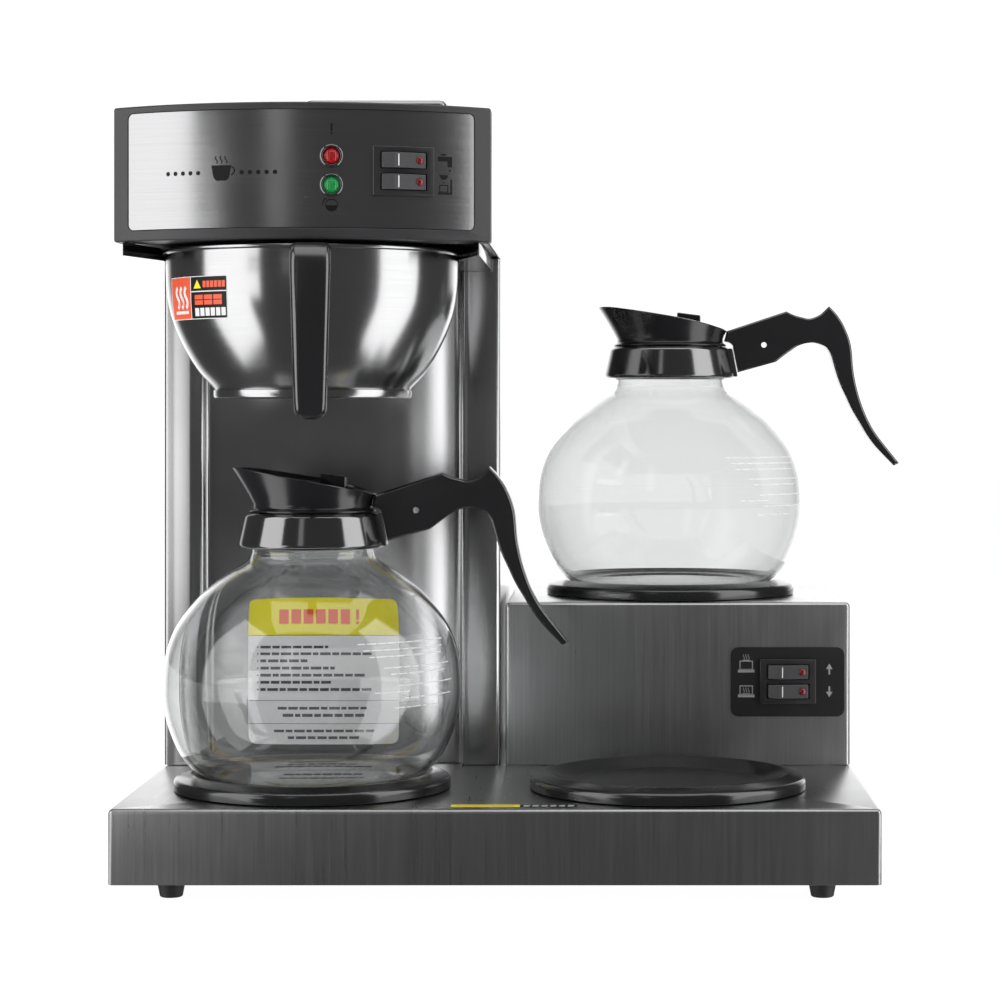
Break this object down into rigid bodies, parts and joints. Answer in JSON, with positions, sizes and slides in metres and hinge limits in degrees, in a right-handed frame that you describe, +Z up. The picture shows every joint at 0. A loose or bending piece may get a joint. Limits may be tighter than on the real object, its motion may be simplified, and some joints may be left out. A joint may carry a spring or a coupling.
{
  "type": "commercial coffee brewer",
  "caption": "Stainless low-profile drip coffee brewer: tank column with overhanging control head and slide-in funnel, raised side warmer, front warmers and glass decanters.",
  "frame": {"origin": "middle of the whole outline, on the counter surface under the feet", "axes": "+X to the machine's right seen from the front, -Y to its front, +Z up"},
  "size_m": [0.4382, 0.3631, 0.424],
  "materials": {
    "stainless": "fine vertical or horizontal brushed grain",
    "polished_stainless": "fine brushed, brighter",
    "black_plastic": "moulded, semi-gloss",
    "satin_black_plastic": "fine moulded texture",
    "black_enamel": "glossy fired enamel",
    "foot_rubber": "matt",
    "decanter_glass": "clear",
    "red_lens": "translucent, faceted",
    "green_lens": "translucent, faceted",
    "brass": "machined",
    "heater_mica": "matt insulating disc"
  },
  "bodies": {
    "cabinet": {"base_shell": "stainless", "base_pan": "stainless", "column_shell": "stainless", "column_rear_cover": "stainless", "warmer_box_shell": "stainless", "warmer_box_rear_cover": "stainless", "head_hood": "stainless", "head_floor": "stainless", "fill_basin": "stainless", "lid_hinge_bracket": "stainless", "water_tank": "stainless", "tank_lid": "stainless", "control_plate": "polished_stainless", "spray_head": "polished_stainless", "spray_tube": "polished_stainless", "fill_tube": "polished_stainless", "lid_hinge_pin": "polished_stainless", "tank_heater": "polished_stainless", "warmer_label_plate": "black_plastic", "warmer_switch_housing": "black_plastic", "head_switch_housing": "black_plastic", "red_lamp_ring": "black_plastic", "green_lamp_ring": "black_plastic", "funnel_guide": "black_plastic", "cable_gland": "black_plastic", "head_bezel": "satin_black_plastic", "inlet_valve": "satin_black_plastic", "left_warmer_plate": "black_enamel", "right_warmer_plate": "black_enamel", "rear_warmer_plate": "black_enamel", "front_left_foot": "foot_rubber", "front_right_foot": "foot_rubber", "rear_left_foot": "foot_rubber", "rear_right_foot": "foot_rubber", "red_lamp_lens": "red_lens", "green_lamp_lens": "green_lens", "water_inlet": "brass", "tank_thermostat": "brass", "left_warmer_element": "heater_mica", "right_warmer_element": "heater_mica", "rear_warmer_element": "heater_mica"},
    "funnel": {"funnel_bowl": "polished_stainless", "funnel_handle": "black_plastic", "funnel_handle_screw": "polished_stainless", "filter_rack": "polished_stainless"},
    "left_decanter": {"left_decanter_glass": "decanter_glass", "left_decanter_neck_band": "polished_stainless", "left_decanter_collar": "black_plastic", "left_decanter_spout_top": "black_plastic", "left_decanter_handle": "black_plastic"},
    "rear_decanter": {"rear_decanter_glass": "decanter_glass", "rear_decanter_neck_band": "polished_stainless", "rear_decanter_collar": "black_plastic", "rear_decanter_spout_top": "black_plastic", "rear_decanter_handle": "black_plastic"},
    "fill_lid": {"fill_lid": "polished_stainless"},
    "water_rocker": {"water_rocker": "black_plastic"},
    "brew_rocker": {"brew_rocker": "black_plastic"},
    "rear_rocker": {"rear_rocker": "black_plastic"},
    "front_rocker": {"front_rocker": "black_plastic"}
  },
  "joints": [
    {"name": "funnel_slide", "type": "slide", "parent": "cabinet", "child": "funnel", "axis": [0, -1, 0], "range_m": [0, 0.2]},
    {"name": "left_decanter_lift", "type": "slide", "parent": "cabinet", "child": "left_decanter", "axis": [0, 0, 1], "range_m": [0, 0.025]},
    {"name": "rear_decanter_lift", "type": "slide", "parent": "cabinet", "child": "rear_decanter", "axis": [0, 0, 1], "range_m": [0, 0.28]},
    {"name": "fill_lid_hinge", "type": "hinge", "parent": "cabinet", "child": "fill_lid", "pos_m": [-0.08455, 0.02113, 0.4102], "axis": [-1, 0, 0], "range_deg": [0, 100]},
    {"name": "water_rocker_tilt", "type": "hinge", "parent": "cabinet", "child": "water_rocker", "pos_m": [-0.06514, -0.14727, 0.3852], "axis": [0, 0, -1], "range_deg": [0, 12]},
    {"name": "brew_rocker_tilt", "type": "hinge", "parent": "cabinet", "child": "brew_rocker", "pos_m": [-0.06514, -0.14727, 0.374], "axis": [0, 0, -1], "range_deg": [0, 12]},
    {"name": "rear_rocker_tilt", "type": "hinge", "parent": "cabinet", "child": "rear_rocker", "pos_m": [0.14615, 0.01683, 0.1038], "axis": [0, 0, -1], "range_deg": [0, 12]},
    {"name": "front_rocker_tilt", "type": "hinge", "parent": "cabinet", "child": "front_rocker", "pos_m": [0.14615, 0.01683, 0.0926], "axis": [0, 0, -1], "range_deg": [0, 12]}
  ]
}
